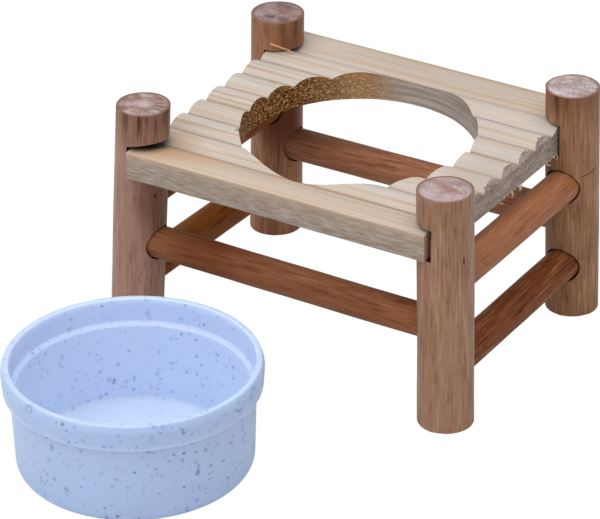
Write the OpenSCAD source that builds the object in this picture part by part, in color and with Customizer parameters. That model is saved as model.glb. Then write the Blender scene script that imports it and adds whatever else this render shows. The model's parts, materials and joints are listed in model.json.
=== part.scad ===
// Raised feeder for small animals: a stand of peeled round branches with a fluted top board,
// and a moulded bowl that drops into the board's round hole.
// Millimetres, +X to the right along the board, +Y to the back, +Z up, floor at z = 0.
// The origin is the middle of the floor area that the stand and the bowl cover together.

/* [Legs] */
// Distance between the left and right leg axes, at the board
leg_spacing_x = 158.8; // [146:0.2:200]
// Distance between the front and back leg axes, at the board
leg_spacing_y = 116.2; // [100:0.2:150]
// Diameter of the front left leg
front_left_d = 24.6; // [22:0.1:32]
// Diameter of the front right leg
front_right_d = 25.4; // [22:0.1:32]
// Diameter of the back right leg
back_right_d = 24.8; // [22:0.1:32]
// Diameter of the back left leg
back_left_d = 25; // [22:0.1:32]
// Height of the front left leg
front_left_h = 115.6; // [106:0.1:150]
// Height of the front right leg
front_right_h = 113.8; // [106:0.1:150]
// Height of the back right leg
back_right_h = 114.1; // [106:0.1:150]
// Height of the back left leg
back_left_h = 112.7; // [106:0.1:150]
// How far the front left foot stands out of plumb, in X and Y
front_left_lean = [-6.4, 0.8]; // [-8:0.1:8]
// How far the front right foot stands out of plumb, in X and Y
front_right_lean = [2.1, -2.7]; // [-8:0.1:8]
// How far the back right foot stands out of plumb, in X and Y
back_right_lean = [0.6, 1.7]; // [-8:0.1:8]
// How far the back left foot stands out of plumb, in X and Y
back_left_lean = [-1.5, -1.4]; // [-8:0.1:8]

/* [Rungs] */
// Diameter of the front rung
front_rung_d = 15.2; // [10:0.1:17]
// Diameter of the back rung
back_rung_d = 15.6; // [10:0.1:17]
// Diameter of the four side rungs
side_rung_d = 16; // [10:0.1:17]
// Height of the front rung's axis
front_rung_z = 46.6; // [44:0.1:49]
// Height of the back rung's axis
back_rung_z = 46.2; // [44:0.1:49]
// Height of the upper side rungs' axes
side_upper_z = 67.4; // [66:0.1:72]
// Height of the lower side rungs' axes
side_lower_z = 26.1; // [12:0.1:27]
// How deep a rung's socket goes into its leg
socket_depth = 9.5; // [6:0.1:11]
// Room around a rung in its socket, on the radius
socket_clearance = 0.3; // [0.1:0.05:0.6]
// Room between a rung's end and the bottom of its socket
socket_end_gap = 0.5; // [0.2:0.1:1.5]

/* [Board] */
// Height of the board's underside above the floor
board_seat_z = 84; // [82:0.2:88]
// Depth of the board from its front edge to its back edge
board_depth = 147; // [138:0.2:180]
// How far the board's front edge stands proud of the front legs
board_front_proud = 1.2; // [0:0.1:4]
// Thickness of the board over the flutes
board_t = 14; // [12:0.1:16]
// Thickness of the board in the valley behind the last flute
valley_t = 10.9; // [8:0.1:11.5]
// How much lower the valley before the first flute lies
front_fall = 1.2; // [0:0.1:2]
// Distance between two valleys
flute_pitch = 15.6; // [14:0.1:17]
// Number of flutes
flute_count = 7; // [5:1:7]
// Thickness of the board at its front edge
front_edge_t = 13; // [11.5:0.1:16]
// Thickness of the board at its back edge
back_edge_t = 14; // [11.5:0.1:16]
// Radius of the crowned bands at the front and back
band_crown_r = 30; // [26:1:60]
// Rounding of the board's front edge
front_edge_r = 0.8; // [0.3:0.1:3]
// Rounding of the board's back edge
back_edge_r = 2.4; // [1:0.1:4]
// Gap between the board's left end and its housings
left_end_gap = 0.8; // [0.3:0.1:3]
// Gap between the board's right end and its housings
right_end_gap = 2.8; // [0.3:0.1:4]
// Room over the board in the front left housing
front_left_room = 1.9; // [0.3:0.1:3]
// Room over the board in the front right housing
front_right_room = 1.2; // [0.3:0.1:3]
// Room over the board in the two back housings
back_room = 1.2; // [0.3:0.1:3]

/* [Bowl hole] */
// Diameter of the hole
hole_d = 108.8; // [100:0.2:114]
// Hole centre, to the left of the middle between the legs
hole_left = 1.1; // [-4:0.1:4]
// Hole centre, behind the middle of the board
hole_back = 0.7; // [-4:0.1:4]

/* [Bowl] */
// Height of the bowl
bowl_h = 52; // [46:0.2:60]
// Room between the bowl's body and the hole, on the radius
bowl_clearance = 0.6; // [0.3:0.1:2]
// How far the rim reaches beyond the hole, on the radius
rim_overhang = 3.1; // [2:0.1:6]
// Height of the rim band, without the shoulder under it
rim_band_h = 12; // [8:0.1:18]
// Fall of the shoulder under the rim band, from the band to the body
shoulder_h = 1.2; // [0.4:0.1:8]
// How far the ledge inside the bowl lies above that shoulder
ledge_rise = 1; // [0.5:0.1:3]
// Slope of the rim band's wall
rim_draft = 0.7; // [0.2:0.1:2]
// Slope of the body's wall, from the shoulder down to the base
body_draft = 1.5; // [0.5:0.1:4]
// Wall thickness
bowl_wall = 2.8; // [2:0.1:4]
// Outer rounding of the base
base_round = 6.4; // [4:0.2:12]
// Inner rounding between wall and floor
floor_round = 2.4; // [2:0.2:8]
// Depth of the recess under the base
base_recess = 0.8; // [0.3:0.1:1.5]
// Width of the ring that the bowl stands on
foot_ring_w = 5; // [3:0.2:10]
// Free floor between the bowl's rim and the board's front edge
bowl_gap = 31.4; // [4:0.2:80]
// How far left of the middle between the legs the bowl stands
bowl_left = 17.6; // [-20:0.2:20]

/* [Hidden] */
$fn = 96;
// Overlap that lets a cut pass cleanly through a face
cut = 1;

// The legs in order: front left, front right, back right, back left
leg_side = [[-1, -1], [1, -1], [1, 1], [-1, 1]];
leg_d = [front_left_d, front_right_d, back_right_d, back_left_d];
leg_h = [front_left_h, front_right_h, back_right_h, back_left_h];
leg_lean = [front_left_lean, front_right_lean, back_right_lean, back_left_lean];
leg_room = [front_left_room, front_right_room, back_room, back_room];
FL = 0;
FR = 1;
BR = 2;
BL = 3;

// The rungs: first leg, second leg, height of the axis, diameter
front_rung_set = [FL, FR, front_rung_z, front_rung_d];
back_rung_set = [BL, BR, back_rung_z, back_rung_d];
left_upper_set = [FL, BL, side_upper_z, side_rung_d];
left_lower_set = [FL, BL, side_lower_z, side_rung_d];
right_upper_set = [FR, BR, side_upper_z, side_rung_d];
right_lower_set = [FR, BR, side_lower_z, side_rung_d];
rung_sets = [
    front_rung_set,
    back_rung_set,
    left_upper_set,
    left_lower_set,
    right_upper_set,
    right_lower_set,
];

// Radii of the bowl, from the hole that it drops into
hole_r = hole_d / 2;
rim_r = hole_r + rim_overhang;
rim_foot_r = rim_r - rim_draft;
body_r = hole_r - bowl_clearance;
base_r = body_r - body_draft;

// The floor area: the bowl in front, the free floor, then the board
total_depth = 2 * rim_r + bowl_gap + board_depth;
bowl_y = rim_r - total_depth / 2;
board_front_y = total_depth / 2 - board_depth;
front_leg_r = max(front_left_d, front_right_d) / 2;
stand_y = board_front_y + board_front_proud + front_leg_r + leg_spacing_y / 2;
foot_left = front_left_lean.x - leg_spacing_x / 2 - front_left_d / 2;
foot_right = front_right_lean.x + leg_spacing_x / 2 + front_right_d / 2;
stand_x = -(foot_left + foot_right) / 2;
bowl_x = stand_x - bowl_left;

// The board between its housings
wall_left_x = stand_x - leg_spacing_x / 2;
wall_right_x = stand_x + leg_spacing_x / 2;
board_left_x = wall_left_x + left_end_gap;
board_l = wall_right_x - right_end_gap - board_left_x;
board_mid_z = board_seat_z + board_t / 2;
hole_x = stand_x - hole_left;
hole_y = board_front_y + board_depth / 2 + hole_back;

// A flute is an arc over its pitch: the last one rises from its valleys to the full thickness
flute_rise = board_t - valley_t;
flute_r = (flute_pitch * flute_pitch / 4 + flute_rise * flute_rise) / (2 * flute_rise);
// The row of flutes is centred on the hole, measured here from the board's front edge
flutes_mid = hole_y - board_front_y;
flutes_start = flutes_mid - flute_count * flute_pitch / 2;
front_valley_t = valley_t - front_fall;

// Point on a leg's axis at height z: the leans meet the set spacing at the board
function leg_axis(i, z) = [
    stand_x + leg_side[i].x * leg_spacing_x / 2 + leg_lean[i].x * (1 - z / board_mid_z),
    stand_y + leg_side[i].y * leg_spacing_y / 2 + leg_lean[i].y * (1 - z / board_mid_z),
    z,
];

function unit(v) = v / norm(v);

// Bottom of the valley before flute k, in the board's cross-section
function valley(k) = [flutes_start + k * flute_pitch, front_valley_t + front_fall * k / flute_count];

// Points on an arc about a centre
function arc(centre, r, from, to, steps) = [
    for (k = [0:steps])
        let (a = from + (to - from) * k / steps)
            centre + r * [cos(a), sin(a)]
];

// Points on an arc that rises over the line from p to q, without p itself
function arc_over(p, q, r, steps) =
    let (
        chord = norm(q - p),
        up = [p.y - q.y, q.x - p.x] / chord,
        centre = (p + q) / 2 - up * sqrt(r * r - chord * chord / 4),
        from = atan2(p.y - centre.y, p.x - centre.x),
        to = atan2(q.y - centre.y, q.x - centre.x)
    )
    [
        for (k = [1:steps])
            let (a = from + (to - from) * k / steps)
                centre + r * [cos(a), sin(a)]
    ];

// Round bar between two points, turned about its own axis by spin
module bar(p, q, d, spin = 0) {
    v = q - p;
    translate(p)
        rotate([0, acos(v.z / norm(v)), atan2(v.y, v.x)])
            rotate(spin)
                cylinder(d = d, h = norm(v));
}

// Bar along a rung, starting and ending the given distances from the two leg axes
module rung_bar(set, d, start, stop) {
    p = leg_axis(set[0], set[2]);
    q = leg_axis(set[1], set[2]);
    along = unit(q - p);
    bar(p + along * start, q - along * stop, d);
}

// Distance from a leg's axis to the bottom of a socket
function socket_floor(i) = leg_d[i] / 2 - socket_depth;

module rung(set) {
    rung_bar(
        set,
        set[3],
        socket_floor(set[0]) + socket_end_gap,
        socket_floor(set[1]) + socket_end_gap
    );
}

// Sockets at both ends of a rung, as one bar: it only cuts the leg at hand
module socket(set) {
    rung_bar(set, set[3] + 2 * socket_clearance, socket_floor(set[0]), socket_floor(set[1]));
}

// Saw-cut housing for a board corner, from the leg's inner side to its axis
module housing(i) {
    room = leg_d[i] + cut;
    wall_x = stand_x + leg_side[i].x * leg_spacing_x / 2;
    inner_x = wall_x - leg_side[i].x * room;
    mid = leg_axis(i, board_mid_z);
    translate([min(wall_x, inner_x), mid.y - room, board_seat_z])
        cube([room, 2 * room, board_t + leg_room[i]]);
}

// Leaning leg with a level foot and a level top.
// The bar's seam line is turned to the stand's outer corner, clear of the housing and the sockets.
module leg(i) {
    d = leg_d[i];
    h = leg_h[i];
    mid = leg_axis(i, h / 2);
    outer_corner = atan2(leg_side[i].y, leg_side[i].x);
    lean_way = atan2(-leg_lean[i].y, -leg_lean[i].x);
    difference() {
        intersection() {
            bar(leg_axis(i, -d), leg_axis(i, h + d), d, outer_corner - lean_way);
            translate([mid.x - d, mid.y - d, 0])
                cube([2 * d, 2 * d, h]);
        }
        housing(i);
        for (set = rung_sets)
            if (set[0] == i || set[1] == i)
                socket(set);
    }
}

// Cross-section of the board, from its front edge at 0 and its underside at 0
module board_profile() {
    front_c = [front_edge_r, front_edge_t - front_edge_r];
    back_c = [board_depth - back_edge_r, back_edge_t - back_edge_r];
    polygon(concat(
        [[0, 0]],
        arc(front_c, front_edge_r, 180, 90, 4),
        arc_over([front_edge_r, front_edge_t], valley(0), band_crown_r, 10),
        [
            for (k = [0:flute_count - 1])
                each arc_over(valley(k), valley(k + 1), flute_r, 10)
        ],
        arc_over(valley(flute_count), [board_depth - back_edge_r, back_edge_t], band_crown_r, 10),
        arc(back_c, back_edge_r, 90, 0, 6),
        [[board_depth, 0]]
    ));
}

module top_board() {
    color("#D8C8B4")
        difference() {
            translate([board_left_x, board_front_y, board_seat_z])
                rotate([90, 0, 90])
                    linear_extrude(board_l)
                        board_profile();
            translate([hole_x, hole_y, board_seat_z - cut])
                cylinder(d = hole_d, h = board_t + 2 * cut, $fn = 180);
        }
}

module front_left_leg() color("#8F6B57") leg(FL);
module front_right_leg() color("#8F6B57") leg(FR);
module back_right_leg() color("#8F6B57") leg(BR);
module back_left_leg() color("#8F6B57") leg(BL);

module front_rung() color("#7A4A30") rung(front_rung_set);
module back_rung() color("#7A4A30") rung(back_rung_set);
module left_upper_rung() color("#7A4A30") rung(left_upper_set);
module left_lower_rung() color("#7A4A30") rung(left_lower_set);
module right_upper_rung() color("#7A4A30") rung(right_upper_set);
module right_lower_rung() color("#7A4A30") rung(right_lower_set);

// Bowl: a drafted rim band, a shoulder that rests on the hole's edge with a ledge inside, a drafted body
module bowl() {
    lip_r = bowl_wall / 2;
    lip = [rim_r - lip_r, bowl_h - lip_r];
    band_z = bowl_h - rim_band_h;
    shoulder_z = band_z - shoulder_h;
    floor_z = bowl_wall;
    base_c = [base_r - base_round, base_round];
    floor_c = [base_r - bowl_wall - floor_round, floor_z + floor_round];
    foot_r = base_r - base_round;
    color("#A9BCE2")
        translate([bowl_x, bowl_y, 0])
            rotate_extrude($fn = 120)
                polygon(concat(
                    [[0, base_recess], [foot_r - foot_ring_w, base_recess], [foot_r - foot_ring_w, 0]],
                    arc(base_c, base_round, -90, 0, 8),
                    [[body_r, shoulder_z], [rim_foot_r, band_z]],
                    arc(lip, lip_r, 0, 180, 10),
                    [
                        [rim_foot_r - bowl_wall, band_z + ledge_rise],
                        [body_r - bowl_wall, shoulder_z + ledge_rise],
                    ],
                    arc(floor_c, floor_round, 0, -90, 6),
                    [[0, floor_z]]
                ));
}

front_left_leg();
front_right_leg();
back_right_leg();
back_left_leg();
front_rung();
back_rung();
left_upper_rung();
left_lower_rung();
right_upper_rung();
right_lower_rung();
top_board();
bowl();
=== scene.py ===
import json
import math

import bpy
from mathutils import Matrix, Quaternion, Vector


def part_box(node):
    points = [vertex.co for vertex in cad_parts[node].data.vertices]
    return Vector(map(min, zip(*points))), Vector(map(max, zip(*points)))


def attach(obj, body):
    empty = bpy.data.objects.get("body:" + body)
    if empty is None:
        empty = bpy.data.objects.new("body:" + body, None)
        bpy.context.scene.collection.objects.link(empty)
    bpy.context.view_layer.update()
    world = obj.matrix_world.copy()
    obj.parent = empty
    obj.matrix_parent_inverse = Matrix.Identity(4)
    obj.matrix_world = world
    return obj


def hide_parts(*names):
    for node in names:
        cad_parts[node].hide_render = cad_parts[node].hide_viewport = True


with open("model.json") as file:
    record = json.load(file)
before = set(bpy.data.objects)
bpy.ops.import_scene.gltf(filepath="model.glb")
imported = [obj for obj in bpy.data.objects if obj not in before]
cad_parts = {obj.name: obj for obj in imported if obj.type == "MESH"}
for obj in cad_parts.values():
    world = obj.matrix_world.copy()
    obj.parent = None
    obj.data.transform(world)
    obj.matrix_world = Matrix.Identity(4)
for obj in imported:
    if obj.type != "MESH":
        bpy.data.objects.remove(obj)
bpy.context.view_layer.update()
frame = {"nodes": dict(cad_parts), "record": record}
MM = 0.001

# Camera: a long lens, looking down on the stand from the front right
CAMERA_LENS = 252.04
CAMERA_AZIMUTH = 32.051
CAMERA_ELEVATION = 28.957
CAMERA_ROLL = -0.78
CAMERA_DISTANCE = 1931.6 * MM
CAMERA_TARGET = Vector((-16.52, 50.14, 34.69)) * MM

# Light: a soft box overhead, a weaker one in front, and an even room
SOFT_BOX_PLACE = Vector((-0.06, -0.05, 1.45))
SOFT_BOX_D = 2.4
SOFT_BOX_POWER = 30.0
FILL_BOX_PLACE = Vector((-0.06, -1.3, 1.0))
FILL_BOX_D = 1.6
FILL_BOX_POWER = 9.0
ROOM_COLOUR = "#F8FAFF"
ROOM_LIGHT = 0.4

# White table just under the feet, bleached almost to plain white in the picture
TABLE_SIZE = 8.0
TABLE_DROP = 0.3 * MM
TABLE_WHITE = "#E8E8E8"
TABLE_BLEACH = 0.99
BLEACH_STRENGTH = 1.02

# Round branches: the sides and rings of their meshes, and how far their skin swells and sinks
BRANCH_SIDES = 96
BRANCH_RINGS = 48
BRANCH_SWELL = 0.55 * MM
BRANCH_SWELL_SIZE = 7.0 * MM
# A branch is drawn up this many times too short, and its swellings are drawn out with it
BRANCH_DRAW_OUT = 7.0
BRANCH_SMOOTH = math.radians(35)

# Legs: spare length at each saw cut, eased rims, and the depth that still counts as skin
LEG_SAW_MARGIN = 8.0 * MM
LEG_TOP_EASE = 0.7 * MM
LEG_FOOT_EASE = 0.4 * MM
SKIN_DEPTH = 0.9 * MM
# A face is a sawn end if it lies this near the cut and its normal is this near upright
SAWN_REACH = 1.0 * MM
SAWN_UPRIGHT = 0.95
# Points this near each other in height lie on one ring of the CAD leg
SAME_LEVEL = 0.01 * MM

# Joints of the stand
SOCKET_CLEARANCE = 0.8 * MM
SOCKET_END_GAP = 0.5 * MM
# Room over the board in each leg's housing
HOUSING_ROOM = {
    "front_left_leg": 0.9 * MM,
    "front_right_leg": 1.2 * MM,
    "back_right_leg": 1.2 * MM,
    "back_left_leg": 0.5 * MM,
}
# A saw cut is this many leg radii wide, so that it leaves the leg
SAW_CUT_W = 3
# One housing's wall isn't at the leg's axis but this close to the board's end
CLOSE_HOUSING = "back_left_leg"
CLOSE_HOUSING_GAP = 0.4 * MM
# One housing's ceiling slants: its rise towards the right and towards the back
SLANTED_HOUSING = "front_left_leg"
SLANT_RISE = (0.25, -0.15)
SLANT_CUT_H = 5.0 * MM
RUNGS = {
    "front_rung": ("front_left_leg", "front_right_leg"),
    "back_rung": ("back_left_leg", "back_right_leg"),
    "left_upper_rung": ("front_left_leg", "back_left_leg"),
    "left_lower_rung": ("front_left_leg", "back_left_leg"),
    "right_upper_rung": ("front_right_leg", "back_right_leg"),
    "right_lower_rung": ("front_right_leg", "back_right_leg"),
}

# Wood tones of each branch: dark streaks, main tone, pale streaks
LEG_TONES = {
    "front_left_leg": ("#7C5946", "#96725F", "#A7846F"),
    "front_right_leg": ("#75513A", "#926D56", "#A78268"),
    "back_right_leg": ("#6A452C", "#8F6548", "#A9825F"),
    "back_left_leg": ("#6F462D", "#976749", "#AD7C5F"),
}
RUNG_TONES = {
    "front_rung": ("#60361C", "#824F33", "#906446"),
    "back_rung": ("#6E422A", "#946146", "#A47A5F"),
    "left_upper_rung": ("#5C2C0E", "#80461F", "#925835"),
    "left_lower_rung": ("#5B2E08", "#7C4515", "#89581F"),
    "right_upper_rung": ("#824E2B", "#996344", "#A5765A"),
    "right_lower_rung": ("#4A1F09", "#744020", "#986242"),
}
LEG_SHEEN = 0.07
LEG_GLOSS = 0.2
RUNG_GLOSS = 0.1
SPLIT_BROWN = "#4A2E20"
# How dark the short splits are, from none to full
LEG_SPLITS = 0.38
RUNG_SPLITS = {
    "front_rung": 0.3,
    "back_rung": 0.3,
    "left_upper_rung": 0.3,
    "left_lower_rung": 0.3,
    "right_upper_rung": 0.08,
    "right_lower_rung": 0.5,
}
# Knots, cracks and dark runs: place and size in mm, turn about X in degrees, strength
KNOT_BROWN = "#36180A"
BRANCH_MARKS = {
    "front_left_leg": [
        ((-67.6, 8.5, 73.2), (1.3, 1.3, 1.7), 0, 0.85),
        ((-70.8, 2.1, 112.4), (1.0, 1.0, 7.5), 0, 0.55),
        ((-67.7, 4.0, 114.0), (0.9, 0.9, 4.5), 0, 0.55),
        ((-65.0, 7.4, 109.0), (1.0, 1.2, 8.0), 0, 0.45),
        ((-63.5, 12.0, 112.0), (1.0, 1.0, 7.0), 0, 0.5),
    ],
    "front_right_leg": [((93.4, 8.9, 84.4), (0.7, 0.9, 2.8), 0, 0.85)],
    "back_right_leg": [((92.6, 126.8, 74.9), (8.0, 9.5, 0.5), 17, 0.85)],
    "back_left_leg": [((-64.4, 126.0, 107.0), (0.8, 0.9, 2.4), 0, 0.85)],
}
# Red-brown patches, given in the same way: partly inner bark and partly painted shade, on the legs below
# the board and on the front rung's left part
BROWN_AND_SHADE_TONE = "#5E2400"
BROWN_AND_SHADE_PATCHES = {
    "front_left_leg": [((-68.0, 8.0, 72.0), (11.0, 15.0, 22.0), 0, 0.5)],
    "back_left_leg": [((-70.0, 120.0, 66.0), (16.0, 18.0, 26.0), 0, 0.8)],
    "front_rung": [((-42.0, 12.0, 46.6), (22.0, 30.0, 30.0), 0, 0.5)],
}
# Stain under a leg's sawn top: how strong, how far down it fades, and an even veil beside the runs
TOP_STAINS = {
    "front_left_leg": 0.7,
    "front_right_leg": 0.15,
    "back_right_leg": 0.8,
    "back_left_leg": 0.45,
}
STAIN_FULL = 3.0 * MM
STAIN_REACH = 20.0 * MM
STAIN_VEIL = 0.8
VEIL_BROWN = "#70462E"
RUN_BROWN = "#43200E"

# Sawn tops: dark, main and pale end grain
END_TONES = {
    "front_left_leg": ("#75594D", "#8F7A74", "#A49291"),
    "front_right_leg": ("#83675F", "#957F7D", "#A69495"),
    "back_right_leg": ("#7F665F", "#9E908E", "#B7ACAF"),
    "back_left_leg": ("#61473E", "#7B645E", "#8E7A79"),
}
# Pith of each sawn top: how far it lies off the leg's axis in mm
PITHS = {
    "front_left_leg": (0.5, 1.2),
    "front_right_leg": (7.0, 9.0),
    "back_right_leg": (-1.0, 1.0),
    "back_left_leg": (-5.0, 10.0),
}
# Units of a sawn top: millimetres across it, and so long a unit of height that it hardly counts
ACROSS_THE_END = (1 * MM, 1 * MM, 1000 * MM)
# Growth rings in mm. At scale 1 the wave texture repeats every tenth of pi.
RING_W = 1.9635
WAVE_REPEAT = math.pi / 10
RAYS_ROUND = 26.0
# Line of inner bark: where it starts and is full, in mm from the rim
BARK_LINE = (1.9, 0.6)
END_BROWN = "#6A4634"
# Stains, cracks and chips: place off the leg's axis and size in mm, turn about Z in degrees, strength and
# colour
TOP_MARKS = {
    "front_left_leg": [
        ((-6.4, -7.7), (4.0, 3.4), 0, 0.9, "#74452C"),
        ((-6.7, 1.2), (5.0, 3.0), 30, 0.3, "#6A4634"),
        ((0.0, 1.4), (5.5, 4.5), 0, 0.35, "#BFB0AC"),
        ((2.6, 8.6), (5.0, 2.0), -20, 0.7, "#6E3E2C"),
        ((-3.7, 10.3), (6.0, 1.6), 10, 0.5, "#5A4034"),
    ],
    "front_right_leg": [
        ((0.7, 1.0), (12.0, 3.0), -28, 0.34, "#84584A"),
        ((5.5, 2.8), (8.0, 1.0), -28, 0.3, "#C8B6B4"),
        ((-4.5, -4.0), (7.0, 6.0), 0, 0.45, "#B09C9E"),
    ],
    "back_right_leg": [
        ((1.1, -1.7), (8.0, 0.6), 20, 0.5, "#5E4238"),
        ((-7.7, 3.6), (4.5, 3.2), 40, 0.5, "#84523E"),
        ((6.0, 9.0), (5.0, 2.2), -20, 0.45, "#84523E"),
        ((2.5, -11.4), (2.0, 1.2), 0, 0.7, "#D2B488"),
        ((-1.8, -11.5), (1.6, 1.2), 0, 0.6, "#D2B488"),
    ],
    "back_left_leg": [
        ((0.0, -5.4), (2.8, 1.6), 30, 0.7, "#3A2A22"),
        ((-2.6, -5.8), (2.0, 1.4), 0, 0.6, "#3A2A22"),
        ((1.5, -1.0), (7.0, 0.8), 67, 0.5, "#4A342A"),
        ((6.2, 1.8), (5.0, 5.0), 0, 0.4, "#84523C"),
    ],
}
TOP_MARK_DEPTH = 4.0

# Board: the hole is the record's bore
HOLE = next(mount for mount in frame["record"]["mounts"] if mount["name"] == "bowl_hole")
HOLE_R = HOLE["dims"]["r_mm"] * MM
HOLE_CENTRE = Vector(HOLE["pos_m"])
FLUTE_PITCH = 15.6 * MM
FLUTE_COUNT = 7
FLUTES_START = 19.3 * MM
VALLEY_Z = 92.5 * MM
BOARD_SLICE = 2.5 * MM
BOARD_WAVE = 0.25 * MM
BOARD_WAVE_SIZE = 14.0 * MM
BOARD_SMOOTH = math.radians(25)
# The CAD board's corners are merged within this distance, and its facets within this angle
BOARD_MERGE = 0.002 * MM
BOARD_FLAT = math.radians(0.3)
# A face is end grain if it lies this near an end of the board and its normal's X is more than this
BOARD_END_REACH = 3.0 * MM
BOARD_END_FACING = 0.8
# A face is hole wall if it lies this near the hole and its normal's Z is less than this
HOLE_REACH = 0.5 * MM
HOLE_STEEPNESS = 0.5

# Fir: late-wood lines, fine fibres, the sawn front face with its torn fibres, flute lines and arrises
LATE_WOOD = "#967350"
FIBRE_GREY = "#8A7A6A"
FRONT_GREY = "#AC9F94"
TORN_BROWN = "#7A6148"
FLUTE_BROWN = "#7A5638"
FRONT_ARRIS_TAN = "#B89C80"
BACK_ARRIS_TAN = "#A08560"
# Half the width of a flute line, and how far past the outer flutes lines can lie, in flutes
FLUTE_LINE_W = 0.858 * MM
FLUTE_MARGIN = 0.2
# Where each arris is full and where it ends, from the board's edge. The front one lies on the upper edge
# only: it starts at the first height and is full at the second.
FRONT_ARRIS = (0.3 * MM, 2.5 * MM)
FRONT_ARRIS_Z = (VALLEY_Z + 2.0 * MM, VALLEY_Z + 4.0 * MM)
BACK_ARRIS = (2.0 * MM, 5.0 * MM)
# Dark marks, tan patches, painted light and a painted shadow on the board: place and size in mm, strength,
# colour
BOARD_MARKS_AND_PAINTED_SHADING = [
    ((-57.4, 93.0, 96.0), (3.5, 0.7, 4.0), 0.7, "#5E3C22"),
    ((-45.0, 44.5, 95.5), (2.2, 2.6, 4.0), 0.7, "#5E3C22"),
    # Painted light: these three tan patches round the front left leg's foot, lighter than the wood, lift
    # the shade that falls there
    ((-60.0, 12.0, 98.0), (34.0, 13.0, 8.0), 0.55, "#AE8056"),
    ((-69.0, 6.0, 98.0), (16.0, 12.0, 6.0), 0.3, "#D0A476"),
    ((-60.0, 26.0, 97.0), (13.0, 10.0, 6.0), 0.35, "#B48C64"),
    ((20.0, 138.0, 98.0), (110.0, 18.0, 12.0), 0.3, "#92765A"),
    ((10.0, 9.0, 98.0), (110.0, 20.0, 12.0), 0.35, "#B1987A"),
    ((72.0, 62.0, 97.0), (18.0, 38.0, 9.0), 0.35, "#A09287"),
    # Painted shadow: a near-black spot on the board under the front left leg's top stands in for the shade
    # in its housing's gap
    ((-74.6, 13.2, 97.5), (13.4, 13.4, 6.0), 0.95, "#2E1408"),
]
# Tan-brown patch on the board's right end, in the front leg's housing: painted light, lighter and browner
# than the end grain, that lifts the shade in the housing's slot
END_TAN_AND_PAINTED_LIGHT = [((79.0, 0.0, 91.0), (8.0, 8.0, 18.0), 0.85, "#C08E68")]

# Right end of the board: longer, apart from its front corner, and broken back from the flutes' valleys up
RIGHT_END_EXTRA = 1.3 * MM
# The end's own faces lie this near it with a normal's X of more than this, and its points lie nearer
END_FACE_REACH = 1.0 * MM
END_FACE_FACING = 0.9
END_POINT_REACH = 0.1 * MM
FRONT_CORNER = 14.0 * MM
BROKEN_EDGE_Z = 94.4 * MM
BROKEN_EDGE_LEAN = math.radians(32)
BROKEN_EDGE_SPAN = (24.0 * MM, 110.5 * MM)
END_CUT_W = 10.0 * MM
# Chips torn out along it: place along Y and size in mm, turn in degrees
CHIPS = [
    (34.0, 1.2, 20), (41.0, 1.5, 50), (47.2, 1.0, 10), (53.4, 1.4, 35), (60.3, 1.1, 15),
    (66.0, 1.6, 60), (72.0, 1.0, 25), (78.4, 1.4, 40), (86.8, 1.2, 75), (92.1, 1.5, 30),
    (99.6, 1.1, 55), (104.2, 1.3, 15), (110.3, 1.0, 45),
]

# Torn wood: curls under the board's right end as place along Y in mm, radius in mm and turn in degrees
CURLS = [
    (68.2, 1.6, 20), (71.0, 1.3, 70), (74.2, 1.9, 120), (77.6, 1.4, 40), (80.4, 2.1, 95),
    (83.0, 1.5, 150), (110.2, 1.3, 60), (113.0, 2.2, 30), (116.4, 1.6, 130),
]
CURL_THICKNESS = 0.4 * MM
# A curl is a ring of 1 mm radius, cut open this far from its middle, then scaled to its own radius
CURL_OPENING = 0.4 * MM
# How far a curl's middle lies back from the board's end, and under the board in its own radii
CURL_SETBACK = 0.3 * MM
CURL_DROP = 0.55
# Its turn to the board's end
CURL_YAW = math.radians(60)
SPLINTER_ENDS = ((-74.0, 118.2, 102.1), (-62.2, 121.8, 98.6))
SPLINTER_W = 1.5 * MM
TORN_SMOOTH = math.radians(40)

# Bowl
BOWL_STEPS = 160
BOWL_SMOOTH = math.radians(30)
BOWL_MERGE = 0.005 * MM
ARC_STEP = math.radians(8)
RIM_BAND_H = 12.0 * MM
RIM_DRAFT = 0.7 * MM
BOWL_CLEARANCE = 0.6 * MM
SHOULDER_H = 1.2 * MM
BODY_DRAFT = 1.5 * MM
BOWL_WALL = 2.8 * MM
RIM_WALL = 3.6 * MM
BASE_ROUND = 6.4 * MM
FLOOR_ROUND = 2.4 * MM
BASE_RECESS = 0.8 * MM
FOOT_RING_W = 5.0 * MM
FOOT_RING_ROUND = 0.3 * MM
LEDGE_RISE = 1.0 * MM
LEDGE_ROUND = 1.0 * MM
BAND_EDGE_ROUND = 0.5 * MM
LIP_DROP = 3.2 * MM
LIP_LEAN = 1.1 * MM
LIP_SIDE_ROUND = 3.0 * MM
LIP_ROUND = 0.7 * MM
# Its plastic: outside, inside, floor and flecks. The paler inside and the paler still floor are painted
# light
BOWL_OUTSIDE = "#9CB1D2"
BOWL_INSIDE_PAINTED_LIGHT = "#B6C8E8"
BOWL_FLOOR_PAINTED_LIGHT = "#C7D6E9"
FLECK_BLUE = "#224482"
# How strongly the flecks show on the inner wall and on the floor
FLECKS_INSIDE = 0.72
FLECKS_ON_FLOOR = 0.4
FLOOR_FADE = 2.0 * MM


# Materials are built from nodes by these few functions


def linear(colour):
    """An sRGB hex colour as linear red, green, blue and alpha."""
    parts = [int(colour[i:i + 2], 16) / 255 for i in (1, 3, 5)]
    return [p / 12.92 if p <= 0.04045 else ((p + 0.055) / 1.055) ** 2.4 for p in parts] + [1.0]


def plug(tree, node, inputs):
    """Sets a node's inputs. Each is a value, an sRGB hex colour, a socket to link, or a node, whose
    first output in use is linked."""
    for key, value in inputs.items():
        if isinstance(value, bpy.types.Node):
            value = next(out for out in value.outputs if out.enabled)
        if isinstance(value, bpy.types.NodeSocket):
            tree.links.new(value, node.inputs[key])
        else:
            node.inputs[key].default_value = linear(value) if isinstance(value, str) else value


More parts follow.
